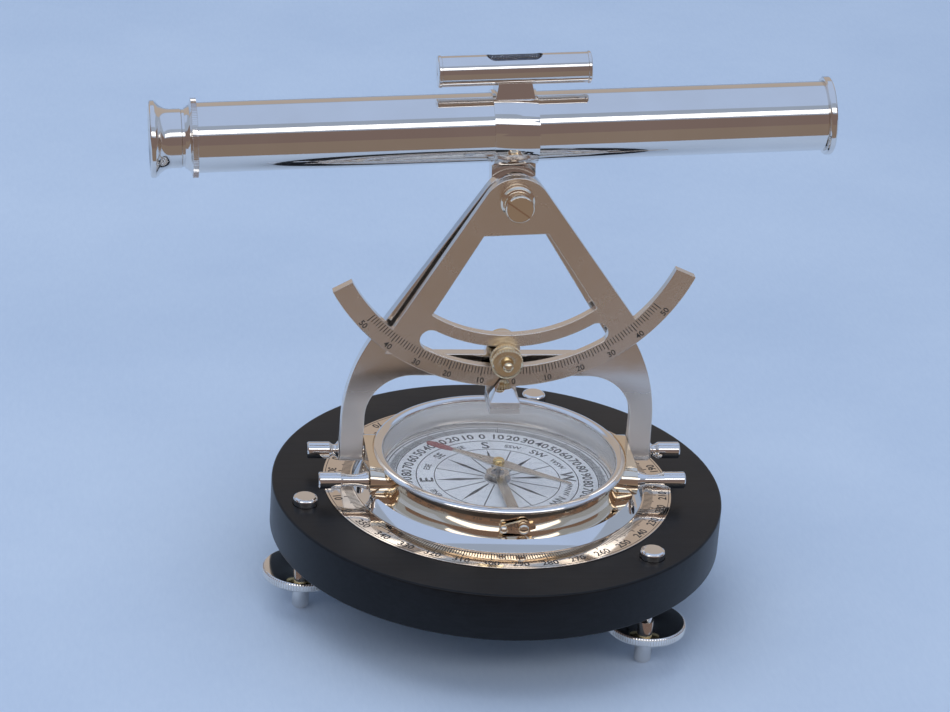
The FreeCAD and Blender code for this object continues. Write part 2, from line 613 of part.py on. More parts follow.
# ------------------------------------------------------------ recompute
doc.recompute()
bad = []
for o in doc.Objects:
    st = list(o.State)
    if "Invalid" in st or "Error" in st:
        bad.append("%s %s" % (o.Name, st))
for nm, o in NODES.items():
    s = o.Shape
    if s.isNull() or not s.isValid() or not s.Solids or s.Volume <= 0:
        bad.append("node %s is not a valid solid" % nm)
if bad:
    raise RuntimeError("; ".join(bad))
if len(NODES) > 60:
    raise RuntimeError("too many nodes")

os.makedirs("parts", exist_ok=True)
for nm, o in NODES.items():
    o.Shape.exportStep("parts/%s.step" % nm)
    bb = o.Shape.BoundBox
    print("%-24s %d solids vol %.1f  x %.2f %.2f  y %.2f %.2f  z %.2f %.2f" % (
        nm, len(o.Shape.Solids), o.Shape.Volume, bb.XMin, bb.XMax, bb.YMin, bb.YMax, bb.ZMin, bb.ZMax))
print(len(NODES), "nodes")
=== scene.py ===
import bpy, bmesh, math
from mathutils import Matrix, Vector


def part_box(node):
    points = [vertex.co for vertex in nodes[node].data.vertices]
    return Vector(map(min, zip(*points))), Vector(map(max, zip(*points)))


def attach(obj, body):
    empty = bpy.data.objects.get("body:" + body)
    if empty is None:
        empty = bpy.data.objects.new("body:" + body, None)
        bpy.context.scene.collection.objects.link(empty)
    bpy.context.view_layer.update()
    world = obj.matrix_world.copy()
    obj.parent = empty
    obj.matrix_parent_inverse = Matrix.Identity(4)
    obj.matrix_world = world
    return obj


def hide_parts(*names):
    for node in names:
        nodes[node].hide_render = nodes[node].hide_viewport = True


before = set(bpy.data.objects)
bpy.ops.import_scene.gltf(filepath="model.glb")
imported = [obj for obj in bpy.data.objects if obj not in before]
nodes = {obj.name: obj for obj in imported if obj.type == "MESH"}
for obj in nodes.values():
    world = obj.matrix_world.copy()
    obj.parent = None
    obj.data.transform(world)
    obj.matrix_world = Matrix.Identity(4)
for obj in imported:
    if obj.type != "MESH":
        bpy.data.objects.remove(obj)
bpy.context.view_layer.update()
scene = bpy.context.scene
MM = 0.001
rad = math.radians

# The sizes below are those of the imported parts, in millimetres.
PIVOT = 225.0
CLAMP_Z = 135.1
TUBE_Y, TUBE_W, LEVEL_W = 25.2, 33.3, 65.0
REST = 3.0

# ------------------------------------------------------------------ materials


def new_mat(name):
    m = bpy.data.materials.new(name)
    m.use_nodes = True
    nt = m.node_tree
    b = nt.nodes["Principled BSDF"]
    return m, nt, b


def tex(nt, scale=(1, 1, 1), rot=(0, 0, 0)):
    tc = nt.nodes.new("ShaderNodeTexCoord")
    mp = nt.nodes.new("ShaderNodeMapping")
    mp.inputs["Scale"].default_value = scale
    mp.inputs["Rotation"].default_value = rot
    nt.links.new(tc.outputs["Object"], mp.inputs["Vector"])
    return mp.outputs["Vector"]


def noise(nt, vec, scale, detail=3.0, rough=0.55, distortion=0.0):
    n = nt.nodes.new("ShaderNodeTexNoise")
    n.inputs["Scale"].default_value = scale
    n.inputs["Detail"].default_value = detail
    n.inputs["Roughness"].default_value = rough
    n.inputs["Distortion"].default_value = distortion
    nt.links.new(vec, n.inputs["Vector"])
    return n.outputs["Fac"]


def remap(nt, val, a, b, c, d):
    m = nt.nodes.new("ShaderNodeMapRange")
    m.inputs["From Min"].default_value = a
    m.inputs["From Max"].default_value = b
    m.inputs["To Min"].default_value = c
    m.inputs["To Max"].default_value = d
    nt.links.new(val, m.inputs["Value"])
    return m.outputs["Result"]


def ramp(nt, val, stops):
    r = nt.nodes.new("ShaderNodeValToRGB")
    cr = r.color_ramp
    while len(cr.elements) < len(stops):
        cr.elements.new(0.5)
    for e, (p, c) in zip(cr.elements, stops):
        e.position = p
        e.color = (*c, 1.0)
    nt.links.new(val, r.inputs["Fac"])
    return r.outputs["Color"]


def bump(nt, b, height, strength, distance, normal=None):
    n = nt.nodes.new("ShaderNodeBump")
    n.inputs["Strength"].default_value = strength
    n.inputs["Distance"].default_value = distance
    nt.links.new(height, n.inputs["Height"])
    if normal is not None:
        nt.links.new(normal, n.inputs["Normal"])
    nt.links.new(n.outputs["Normal"], b.inputs["Normal"])
    return n.outputs["Normal"]


def add_math(nt, op, a, b):
    m = nt.nodes.new("ShaderNodeMath")
    m.operation = op
    for i, v in enumerate((a, b)):
        if isinstance(v, (int, float)):
            m.inputs[i].default_value = v
        else:
            nt.links.new(v, m.inputs[i])
    return m.outputs[0]


def metal(name, tint_a, tint_b, rough, spread, brush=None, brush_amt=0.0, ripple=0.0000012):
    """Plated, polished metal: faint tint drift, wipe marks and fine hairlines."""
    m, nt, b = new_mat(name)
    b.inputs["Metallic"].default_value = 1.0
    b.inputs["IOR"].default_value = 1.5
    v = tex(nt)
    drift = noise(nt, v, 22.0, 3.0)
    nt.links.new(ramp(nt, drift, [(0.3, tint_a), (0.7, tint_b)]), b.inputs["Base Color"])
    wipe = noise(nt, tex(nt, (1, 1, 1), (0.3, 0.5, 0.2)), 60.0, 4.0, 0.6, 0.6)
    fine = noise(nt, tex(nt, brush or (1, 1, 1)), 2600.0, 2.0)
    mix = add_math(nt, "ADD", add_math(nt, "MULTIPLY", wipe, 0.8), add_math(nt, "MULTIPLY", fine, 0.2))
    nt.links.new(remap(nt, mix, 0.3, 0.7, max(0.02, rough - spread), rough + spread), b.inputs["Roughness"])
    h = noise(nt, v, 140.0, 2.0)
    n1 = bump(nt, b, h, 1.0, ripple)
    if brush_amt:
        bump(nt, b, fine, 1.0, brush_amt, n1)
    return m


NICKEL_A, NICKEL_B = (0.82, 0.775, 0.725), (0.87, 0.835, 0.795)
M_TUBE = metal("nickel_polished", NICKEL_A, NICKEL_B, 0.055, 0.02)
M_TURN = metal("nickel_turned", NICKEL_A, NICKEL_B, 0.085, 0.03, (1, 1, 1), 0.0000010)
M_LIMB = metal("nickel_satin_face", (0.84, 0.755, 0.655), (0.89, 0.81, 0.72), 0.26, 0.025)
M_ARCH = metal("nickel_arch", NICKEL_A, NICKEL_B, 0.12, 0.02)
# the arch's lower legs are rubbed to a soft satin
nt = M_ARCH.node_tree
b = nt.nodes["Principled BSDF"]
sep = nt.nodes.new("ShaderNodeSeparateXYZ")
nt.links.new(tex(nt), sep.inputs[0])
low = remap(nt, sep.outputs[2], 0.103, 0.122, 1.0, 0.0)
was = b.inputs["Roughness"].links[0].from_socket
nt.links.new(add_math(nt, "ADD", was, add_math(nt, "MULTIPLY", low, 0.24)), b.inputs["Roughness"])
nt.links.new(remap(nt, low, 0.0, 1.0, 1.0, 0.62), b.inputs["Metallic"])
M_RING = metal("nickel_engraved_ring", (0.84, 0.73, 0.61), (0.89, 0.79, 0.69), 0.07, 0.025)
M_INNER = metal("nickel_brushed_wall", (0.87, 0.84, 0.80), (0.93, 0.90, 0.87), 0.33, 0.04)
M_WARM = metal("nickel_warm", (0.86, 0.72, 0.54), (0.90, 0.79, 0.64), 0.07, 0.025)
M_BRASS = metal("brass_lacquered", (0.78, 0.55, 0.22), (0.86, 0.66, 0.33), 0.16, 0.05)
M_KNURL = metal("worn_knurl", (0.82, 0.67, 0.42), (0.89, 0.78, 0.58), 0.20, 0.05)
M_GREY = metal("steel_grey", (0.42, 0.42, 0.43), (0.52, 0.52, 0.54), 0.30, 0.06)
M_NEEDLE = metal("needle_steel", (0.55, 0.53, 0.50), (0.66, 0.64, 0.60), 0.22, 0.05)


def painted(name, a, b_, rough, scale, coat=0.0, coat_rough=0.1, bump_d=0.000004, spec=0.5):
    m, nt, b = new_mat(name)
    v = tex(nt)
    f = noise(nt, v, scale, 4.0)
    nt.links.new(ramp(nt, f, [(0.3, a), (0.7, b_)]), b.inputs["Base Color"])
    g = noise(nt, v, scale * 3.1, 3.0)
    nt.links.new(remap(nt, g, 0.3, 0.7, rough * 0.85, rough * 1.2), b.inputs["Roughness"])
    b.inputs["Specular IOR Level"].default_value = spec
    b.inputs["Coat Weight"].default_value = coat
    b.inputs["Coat Roughness"].default_value = coat_rough
    bump(nt, b, g, 1.0, bump_d)
    return m


M_INK = painted("engraving_ink", (0.035, 0.028, 0.022), (0.075, 0.060, 0.048), 0.55, 900.0)
M_INK_CARD = painted("dial_print", (0.012, 0.012, 0.016), (0.035, 0.035, 0.042), 0.6, 700.0)
M_CARD = painted("dial_enamel", (0.86, 0.875, 0.90), (0.92, 0.93, 0.945), 0.45, 260.0, 0.15, 0.25)
M_RED = painted("needle_red", (0.23, 0.030, 0.036), (0.33, 0.055, 0.060), 0.35, 300.0, 0.3, 0.12)

# black lacquered hardwood with faint open grain
M_WOOD, nt, b = new_mat("ebonised_wood")
v = tex(nt, (1.0, 14.0, 14.0))
grain = noise(nt, v, 30.0, 6.0, 0.6, 0.8)
pores = noise(nt, tex(nt, (1.0, 30.0, 30.0)), 90.0, 3.0, 0.7)
nt.links.new(ramp(nt, grain, [(0.35, (0.0034, 0.0036, 0.0046)), (0.65, (0.0068, 0.0072, 0.0090))]), b.inputs["Base Color"])
dust = noise(nt, tex(nt), 18.0, 5.0, 0.6)
nt.links.new(remap(nt, dust, 0.3, 0.7, 0.30, 0.42), b.inputs["Roughness"])
b.inputs["Specular IOR Level"].default_value = 0.24
b.inputs["Coat Weight"].default_value = 0.06
b.inputs["Coat Roughness"].default_value = 0.22
bump(nt, b, add_math(nt, "ADD", grain, add_math(nt, "MULTIPLY", pores, 0.5)), 0.6, 0.00002)


def glassy(name, color, alpha, rough=0.0):
    m, nt, b = new_mat(name)
    tone = noise(nt, tex(nt), 70.0, 3.0)
    nt.links.new(ramp(nt, tone, [(0.3, tuple(c * 0.97 for c in color)), (0.7, color)]), b.inputs["Base Color"])
    b.inputs["Transmission Weight"].default_value = 1.0
    b.inputs["IOR"].default_value = 1.45
    b.inputs["Alpha"].default_value = alpha
    v = tex(nt)
    nt.links.new(remap(nt, noise(nt, v, 35.0, 3.0), 0.3, 0.7, rough, rough + 0.03), b.inputs["Roughness"])
    return m


M_GLASS = glassy("glass_clear", (0.97, 0.985, 0.98), 0.09)
M_LENS, nt, b = new_mat("lens_coated")
nt.links.new(ramp(nt, noise(nt, tex(nt), 60.0, 3.0), [(0.3, (0.008, 0.010, 0.020)), (0.7, (0.016, 0.018, 0.032))]), b.inputs["Base Color"])
b.inputs["Specular IOR Level"].default_value = 0.9
b.inputs["Coat Weight"].default_value = 1.0
b.inputs["Coat Roughness"].default_value = 0.02
nt.links.new(remap(nt, noise(nt, tex(nt), 40.0, 3.0), 0.3, 0.7, 0.03, 0.07), b.inputs["Roughness"])
M_VIAL = glassy("vial_glass", (0.90, 0.93, 0.96), 0.45)
M_LIQUID = painted("level_spirit", (0.030, 0.036, 0.060), (0.060, 0.066, 0.095), 0.08, 120.0, 0.9, 0.03)

# ------------------------------------------------------------------- geometry


def T(x, y, z):
    return Matrix.Translation((x, y, z))


LIMB = T(0, 0, PIVOT) @ Matrix.Rotation(rad(REST), 4, Vector((0, -1, 0)))
AX_Z = Matrix.Identity(4)
AX_Y = Matrix.Rotation(rad(-90), 4, "X")      # local Z becomes +Y
AX_YN = Matrix.Rotation(rad(90), 4, "X")      # local Z becomes -Y
AX_X = Matrix.Rotation(rad(90), 4, "Y")       # local Z becomes +X
AX_XN = Matrix.Rotation(rad(-90), 4, "Y")     # local Z becomes -X
TUBE = LIMB @ T(0, TUBE_Y, TUBE_W) @ AX_X


def finish_mesh(name, verts, faces, mats, body, replaces=(), mat_index=None, smooth=35.0):
    me = bpy.data.meshes.new(name)
    me.from_pydata([tuple(v) for v in verts], [], faces)
    me.validate()
    for m in mats:
        me.materials.append(m)
    if mat_index is not None:
        me.polygons.foreach_set("material_index", mat_index)
    bm = bmesh.new()
    bm.from_mesh(me)
    bmesh.ops.recalc_face_normals(bm, faces=bm.faces)
    bm.to_mesh(me)
    bm.free()
    me.polygons.foreach_set("use_smooth", [True] * len(me.polygons))
    me.set_sharp_from_angle(angle=rad(smooth))
    me.update()
    o = bpy.data.objects.new(name, me)
    scene.collection.objects.link(o)
    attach(o, body)
    if replaces:
        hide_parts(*replaces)
    return o


def round_profile(pts, r, steps=3):
    """Rounds the corners of a closed (radius, height) outline that are off the axis."""
    out, n = [], len(pts)
    for i in range(n):
        p0, p, p1 = (Vector(pts[(i + k) % n]) for k in (-1, 0, 1))
        a, b = (p0 - p), (p1 - p)
        la, lb = a.length, b.length
        if p.x < 1e-6 or la < 1e-6 or lb < 1e-6:
            out.append(tuple(p))
            continue
        a.normalize(); b.normalize()
        ang = a.angle(b)
        if ang > rad(160):
            out.append(tuple(p))
            continue
        d = min(r / math.tan(ang / 2), 0.42 * la, 0.42 * lb)
        s, e = p + a * d, p + b * d
        for k in range(steps + 1):
            t = k / steps
            q = s * (1 - t) ** 2 + p * 2 * t * (1 - t) + e * t * t
            out.append(tuple(q))
    return out


def lathe(name, pts, mat, body, place=AX_Z, replaces=(), seg=144, r=0.25, steps=3, mod=None, mat_fn=None, mats=None):
    prof = round_profile(pts, r, steps) if r else list(pts)
    n = len(prof)
    verts, idx = [], []
    for (pr, ph) in prof:
        if pr < 1e-6:
            idx.append([len(verts)] * seg)
            verts.append(place @ Vector((0, 0, ph)) * MM)
        else:
            row = []
            for k in range(seg):
                a = 2 * math.pi * k / seg
                rr = mod(pr, ph, k, seg) if mod else pr
                row.append(len(verts))
                verts.append(place @ Vector((rr * math.cos(a), rr * math.sin(a), ph)) * MM)
            idx.append(row)
    faces, mi = [], []
    for i in range(n):
        j = (i + 1) % n
        if prof[i][0] < 1e-6 and prof[j][0] < 1e-6:
            continue
        rm, hm = (prof[i][0] + prof[j][0]) / 2, (prof[i][1] + prof[j][1]) / 2
        m_i = mat_fn(rm, hm) if mat_fn else 0
        for k in range(seg):
            l = (k + 1) % seg
            f = [idx[i][k], idx[i][l], idx[j][l], idx[j][k]]
            g = []
            for q in f:
                if q not in g:
                    g.append(q)
            if len(g) > 2:
                faces.append(g)
                mi.append(m_i)
    return finish_mesh(name, verts, faces, mats or [mat], body, replaces, mi)


def arc_pts(c, r, a0, a1, n=None):
    n = n or max(3, int(abs(a1 - a0) / 2.0))
    return [(c[0] + r * math.cos(rad(a0 + (a1 - a0) * k / n)), c[1] + r * math.sin(rad(a0 + (a1 - a0) * k / n)))
            for k in range(n + 1)]


def clean(loop):
    out = []
    for p in loop:
        if not out or math.hypot(p[0] - out[-1][0], p[1] - out[-1][1]) > 0.02:
            out.append(p)
    if math.hypot(out[0][0] - out[-1][0], out[0][1] - out[-1][1]) < 0.02:
        out.pop()
    return out


def plate(name, loops, y0, thick, mat, body, place=AX_Z, replaces=(), bevel=0.35, mats=None):
    """A flat plate drawn in XZ, from y0 towards +Y, with holes; loops[0] is the outline."""
    bm = bmesh.new()
    edges = []
    for loop in loops:
        vs = [bm.verts.new((p[0], y0, p[1])) for p in clean(loop)]
        for i in range(len(vs)):
            edges.append(bm.edges.new((vs[i], vs[(i + 1) % len(vs)])))
    bmesh.ops.triangle_fill(bm, use_beauty=True, use_dissolve=False, edges=edges)
    ext = bmesh.ops.extrude_face_region(bm, geom=bm.faces[:])
    new = [g for g in ext["geom"] if isinstance(g, bmesh.types.BMVert)]
    bmesh.ops.translate(bm, vec=(0, thick, 0), verts=new)
    bmesh.ops.recalc_face_normals(bm, faces=bm.faces)
    bm.transform(Matrix.Scale(MM, 4) @ place)
    me = bpy.data.meshes.new(name)
    bm.to_mesh(me)
    bm.free()
    me.materials.append(mat)
    for m in (mats or []):
        me.materials.append(m)
    me.polygons.foreach_set("use_smooth", [True] * len(me.polygons))
    me.set_sharp_from_angle(angle=rad(30))
    o = bpy.data.objects.new(name, me)
    scene.collection.objects.link(o)
    if bevel:
        add_bevel(o, bevel)
    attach(o, body)
    if replaces:
        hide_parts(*replaces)
    return o


def add_bevel(o, width, segs=3):
    b = o.modifiers.new("edge_round", "BEVEL")
    b.width = width * MM
    b.segments = segs
    b.limit_method = "ANGLE"
    b.angle_limit = rad(35)
    b.harden_normals = True
    return b


def cad_look(node, mat, bevel=0.0):
    """A CAD node that keeps its own mesh gets its finish and softened edges."""
    o = nodes[node]
    o.data.materials.clear()
    o.data.materials.append(mat)
    if bevel:
        w = o.modifiers.new("weld", "WELD")
        w.merge_threshold = 0.000002
        add_bevel(o, bevel, 2)
    return o


class Ink:
    """Collects thin engraved or printed marks as closed slabs."""

    def __init__(self):
        self.v, self.f = [], []

    def slab(self, quad, frame_m, low, high):
        n = len(self.v)
        for h in (low, high):
            for (x, y) in quad:
                self.v.append(frame_m @ Vector((x, y, h)) * MM)
        k = len(quad)
        self.f.append([n + i for i in range(k)][::-1])
        self.f.append([n + k + i for i in range(k)])
        for i in range(k):
            j = (i + 1) % k
            self.f.append([n + i, n + j, n + k + j, n + k + i])

    def line(self, p0, p1, w, frame_m, low, high, w1=None):
        p0, p1 = Vector(p0), Vector(p1)
        d = (p1 - p0).normalized()
        s = Vector((-d.y, d.x))
        w1 = w if w1 is None else w1
        self.slab([p0 + s * w / 2, p0 - s * w / 2, p1 - s * w1 / 2, p1 + s * w1 / 2], frame_m, low, high)

    def circle(self, r, w, frame_m, low, high, a0=0.0, a1=360.0, n=180):
        for k in range(n):
            b0, b1 = rad(a0 + (a1 - a0) * k / n), rad(a0 + (a1 - a0) * (k + 1) / n)
            q = [(rr * math.cos(t), rr * math.sin(t)) for rr, t in
                 ((r - w / 2, b0), (r + w / 2, b0), (r + w / 2, b1), (r - w / 2, b1))]
            self.slab(q, frame_m, low, high)

    def text(self, s, size, frame_m, low, high):
        vs, fs = glyphs(s)
        n = len(self.v)
        for (x, y, z) in vs:
            self.v.append(frame_m @ Vector((x * size, y * size, low if z < 0.0 else high)) * MM)
        self.f += [[n + i for i in f] for f in fs]

    def make(self, name, mat, body):
        me = bpy.data.meshes.new(name)
        me.from_pydata([tuple(v) for v in self.v], [], self.f)
        me.validate()
        bm = bmesh.new()
        bm.from_mesh(me)
        bmesh.ops.recalc_face_normals(bm, faces=bm.faces)
        bm.to_mesh(me)
        bm.free()
        me.materials.append(mat)
        o = bpy.data.objects.new(name, me)
        scene.collection.objects.link(o)
        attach(o, body)
        return o


_glyphs = {}


def glyphs(s):
    """Outline of a short text, one unit tall, centred, as a closed slab between z=-1 and z=+1."""
    if s not in _glyphs:
        cu = bpy.data.curves.new("glyph", "FONT")
        cu.body = s
        cu.size = 1.38
        cu.resolution_u = 3
        cu.offset = 0.022
        cu.extrude = 0.1
        cu.align_x = "CENTER"
        ob = bpy.data.objects.new("glyph", cu)
        scene.collection.objects.link(ob)
        bpy.context.view_layer.update()
        me = bpy.data.meshes.new_from_object(ob.evaluated_get(bpy.context.evaluated_depsgraph_get()))
        bm = bmesh.new()
        bm.from_mesh(me)
        bmesh.ops.remove_doubles(bm, verts=bm.verts, dist=1e-4)
        bm.verts.index_update()
        vs = [(v.co.x, v.co.y - 0.5, v.co.z) for v in bm.verts]
        fs = [[v.index for v in f.verts] for f in bm.faces]
        bm.free()
        bpy.data.meshes.remove(me)
        bpy.data.objects.remove(ob)
        bpy.data.curves.remove(cu)
        _glyphs[s] = (vs, fs)
    return _glyphs[s]


def knurl(teeth, depth, r_min):
    """Saw-toothed edge for radii above r_min."""
    def mod(r, h, k, seg):
        if r < r_min:
            return r
        per = seg // teeth
        return r - depth * (1.0 if (k % per) >= per // 2 else 0.0)
    return mod


# ----------------------------------------------------------------------- base
base = lathe("base_disc_wood", [
    (14.0, 35.5), (120.75, 35.5), (120.75, 61.9), (14.0, 61.9)], M_WOOD, "base", r=1.3, steps=5, seg=256)
bpy.context.view_layer.update()
LEV = {}
for nm in ("left", "right", "rear"):
    lo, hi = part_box("foot_pin_" + nm)
    LEV[nm] = ((lo.x + hi.x) / 2 / MM, (lo.y + hi.y) / 2 / MM)
# bore the three wells for the levelling screws and their bushes
bm = bmesh.new()
for nm, (x, y) in LEV.items():
    prof = [(8.2, 30.0), (8.2, 55.9), (6.75, 55.9), (6.75, 66.0)]
    rings = [[bm.verts.new(((x + r * math.cos(2 * math.pi * k / 64)) * MM, (y + r * math.sin(2 * math.pi * k / 64)) * MM, h * MM))
              for k in range(64)] for r, h in prof]
    for lo_r, hi_r in zip(rings, rings[1:]):
        for k in range(64):
            bm.faces.new((lo_r[k], lo_r[(k + 1) % 64], hi_r[(k + 1) % 64], hi_r[k]))
    bm.faces.new(rings[0][::-1])
    bm.faces.new(rings[-1])
bmesh.ops.recalc_face_normals(bm, faces=bm.faces)
me = bpy.data.meshes.new("base_wells_cutter")
bm.to_mesh(me)
bm.free()
cutter = bpy.data.objects.new("base_wells_cutter", me)
scene.collection.objects.link(cutter)


def boolean_apply(o, cutter, op="DIFFERENCE"):
    md = o.modifiers.new("cut", "BOOLEAN")
    md.operation = op
    md.solver = "EXACT"
    md.object = cutter
    bpy.context.view_layer.update()
    dg = bpy.context.evaluated_depsgraph_get()
    res = bpy.data.meshes.new_from_object(o.evaluated_get(dg))
    o.modifiers.remove(md)
    old = o.data
    o.data = res
    bpy.data.meshes.remove(old)
    o.data.polygons.foreach_set("use_smooth", [True] * len(o.data.polygons))
    o.data.set_sharp_from_angle(angle=rad(35))
    bpy.data.objects.remove(cutter)


boolean_apply(base, cutter)
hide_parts("base_disc")

lathe("azimuth_ring_plate", [(24.0, 61.9), (93.5, 61.9), (93.5, 62.7), (24.0, 62.7)], M_RING, "base",
      replaces=("azimuth_ring",), r=0.18, seg=256)
ink = Ink()
RZ = (62.7 - 0.02, 62.7 + 0.03)
for d in range(360):
    a = rad(d + 0.4)
    r0, r1 = 78.9, (85.3 if d % 10 == 0 else 84.3 if d % 5 == 0 else 83.6)
    ink.line((r0 * math.cos(a), r0 * math.sin(a)), (r1 * math.cos(a), r1 * math.sin(a)),
             0.62 if d % 5 == 0 else 0.52, AX_Z, *RZ)
ink.circle(92.2, 0.34, AX_Z, *RZ)
for n in range(0, 360, 10):
    a = 200.4 - n
    m = Matrix.Rotation(rad(a + 90), 4, "Z") @ T(0, -88.6, 0)
    ink.text(str(n), 4.5, m, *RZ)
ink.make("azimuth_ring_scale", M_INK, "base")

for nm, (x, y) in LEV.items():
    P = T(x, y, 0)
    lathe("leveller_bush_" + nm, [
        (4.05, 35.5), (8.2, 35.5), (8.2, 55.9), (4.05, 55.9)],
        M_BRASS, "base", P, ("leveller_bushes",) if nm == "left" else (), seg=64, r=0.15)
    lathe("leveller_pin_" + nm, [
        (0, 0), (3.4, 0), (4.6, 1.4), (4.6, 18.4), (4.1, 19.2), (2.4, 19.2), (2.4, 22.2), (0, 22.2)],
        M_TURN, "foot_" + nm, P, ("foot_pin_" + nm,), seg=64, r=0.5, steps=4)
    lathe("leveller_disc_" + nm, [
        (4.0, 19.3), (20.0, 19.3), (21.0, 20.2), (21.0, 23.4), (20.0, 24.3), (4.0, 24.3)],
        M_TURN, "leveller_" + nm, P, ("leveller_wheel_" + nm,), seg=90 * 6, r=0.35, mod=knurl(90, 0.45, 20.85))
    lathe("leveller_shaft_" + nm, [
        (0, 22.3), (2.45, 22.3), (2.45, 19.3), (4.0, 19.3), (4.0, 61.4), (6.5, 61.4), (6.5, 65.1),
        (6.1, 65.8), (5.2, 66.25), (2.6, 66.36), (0, 66.4)],
        M_TURN, "leveller_" + nm, P, ("leveller_stem_" + nm,), seg=72, r=0.3)
# ------------------------------------------------------------------ turntable
lathe("turntable_bevelled_plate", [
    (10.0, 62.75), (77.9, 62.75), (78.2, 63.1), (73.0, 68.3), (61.3, 68.3), (61.3, 64.9), (10.0, 64.9)],
    M_TUBE, "turntable", replaces=("turntable_plate",), r=0.2, seg=256)
lathe("bowl_wall", [(62.2, 68.3), (65.0, 68.3), (65.0, 79.8), (62.2, 79.8)], None, "turntable",
      replaces=("bowl_shell",), r=0.12, seg=256, mats=[M_WARM, M_INNER], mat_fn=lambda r, h: 1 if r < 62.5 else 0)
lathe("bowl_rim", [
    (61.9, 79.8), (67.3, 79.8), (67.8, 80.2), (67.75, 80.8), (67.4, 81.35), (66.8, 81.8), (66.0, 82.1), (65.1, 82.27),
    (64.3, 82.27), (63.4, 82.05), (62.7, 81.65), (62.2, 81.1), (61.95, 80.5)],
    M_TURN, "turntable", replaces=("bowl_bezel",), r=0.15, seg=256, steps=2)
lathe("dial_card_face", [(0, 64.9), (61.3, 64.9), (61.3, 65.4), (0, 65.4)], M_CARD, "turntable",
      replaces=("dial_card",), r=0.1, seg=192)
cad_look("bowl_glass", M_GLASS)
nodes["bowl_glass"].visible_shadow = False
cad_look("needle_pivot", M_GREY)
cad_look("lift_arm", M_NEEDLE, 0.12)
cad_look("spindle", M_TURN)
cad_look("spindle_nut", M_BRASS, 0.25)
cad_look("centre_bush", M_BRASS, 0.2)
for s in ("left", "right"):
    cad_look("lug_" + s, M_WARM, 0.5)

card = Ink()
CZ = (65.38, 65.43)
TURN = Matrix.Rotation(rad(2.5), 4, "Z")
for d in range(360):
    a = rad(d)
    r0, r1 = 54.9, (59.4 if d % 10 == 0 else 58.4)
    if d % 10 == 0:
        r0 = 54.0
    card.line((r0 * math.cos(a), r0 * math.sin(a)), (r1 * math.cos(a), r1 * math.sin(a)),
              0.62 if d % 10 == 0 else 0.50, TURN, *CZ)
for r, w in ((33.9, 0.50), (43.6, 0.55), (54.4, 0.50), (60.2, 0.50)):
    card.circle(r, w, TURN, *CZ)
for k, s in enumerate(("S", "SSW", "SW", "WSW", "W", "WNW", "NW", "NNW", "N", "NNE", "NE", "ENE", "E", "ESE", "SE", "SSE")):
    a = 90 - 22.5 * k
    m = TURN @ Matrix.Rotation(rad(a - 90), 4, "Z") @ T(0, 38.7, 0)
    card.text(s, 7.4 if len(s) == 1 else 4.8 if len(s) == 2 else 3.4, m, *CZ)
for k in range(36):
    a = 90 - 10 * k
    q = (10 * k) % 180
    val = q if q <= 90 else 180 - q
    m = TURN @ Matrix.Rotation(rad(a - 90), 4, "Z") @ T(0, 49.0, 0)
    card.text(str(val), 5.5, m, *CZ)
for k in range(32):
    a = rad(11.25 * k)
    c, s = math.cos(a), math.sin(a)
    if k % 4 == 0:
        # long spear rays
        w, r1 = (2.5 if k % 8 == 0 else 2.1), 33.4
        u, t = Vector((c, s)), Vector((-s, c))
        card.slab([u * 8.0 - t * 0.35, u * 21.0 - t * w / 2, u * r1, u * 21.0 + t * w / 2, u * 8.0 + t * 0.35], TURN, *CZ)
    elif k % 2 == 0:
        card.line((7.5 * c, 7.5 * s), (33.4 * c, 33.4 * s), 0.62, TURN, *CZ)
card.make("dial_print_marks", M_INK_CARD, "turntable")

# needle with its red paddle
bladeN = Ink()
half = [(43.3, 0.0), (42.9, 0.8), (41.8, 1.1), (30.0, 1.7), (12.0, 3.0), (5.5, 4.0), (2.0, 4.2), (0.0, 4.2)]
halfm = [(-5.5, 4.0), (-12.0, 2.8), (-27.4, 1.4)]
red = [(-28.5, 1.35), (-30.5, 1.95), (-34.0, 2.15), (-40.6, 2.1), (-42.3, 1.6), (-43.1, 0.8), (-43.3, 0.0)]
ANG = Matrix.Rotation(rad(326.1), 4, "Z")


def flat_piece(name, outline, z0, z1, mat, body, place, bevel, replaces=()):
    bm = bmesh.new()
    lo = [bm.verts.new((x, y, z0)) for x, y in outline]
    f = bm.faces.new(lo)
    ext = bmesh.ops.extrude_face_region(bm, geom=[f])
    bmesh.ops.translate(bm, vec=(0, 0, z1 - z0), verts=[g for g in ext["geom"] if isinstance(g, bmesh.types.BMVert)])
    bmesh.ops.recalc_face_normals(bm, faces=bm.faces)
    bm.transform(Matrix.Scale(MM, 4) @ place)
    me = bpy.data.meshes.new(name)
    bm.to_mesh(me)
    bm.free()
    me.materials.append(mat)
    me.polygons.foreach_set("use_smooth", [True] * len(me.polygons))
    me.set_sharp_from_angle(angle=rad(30))
    o = bpy.data.objects.new(name, me)
    scene.collection.objects.link(o)
    add_bevel(o, bevel, 2)
    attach(o, body)
    if replaces:
        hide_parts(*replaces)
    return o


steel = half + halfm + [(-27.4, -1.4), (-12.0, -2.8), (-5.5, -4.0), (0.0, -4.2), (2.0, -4.2)] + [(u, -v) for u, v in reversed(half[1:6])]
flat_piece("needle_steel_blade", steel, 74.42, 75.18, M_NEEDLE, "needle", ANG, 0.12, ("needle_blade",))
redp = [(-27.5, 1.38)] + red + [(u, -v) for u, v in reversed(red[:-1])] + [(-27.5, -1.38)]
flat_piece("needle_red_end", redp, 74.42, 75.2, M_RED, "needle", ANG, 0.12)
lathe("needle_hub", [
    (1.5, 73.6), (3.15, 73.6), (3.15, 76.3), (2.7, 77.1), (1.6, 77.5), (0, 77.6), (0, 76.0), (0.5, 76.0), (1.5, 74.6)],
    M_BRASS, "needle", replaces=("needle_cap",), r=0.25, seg=64)

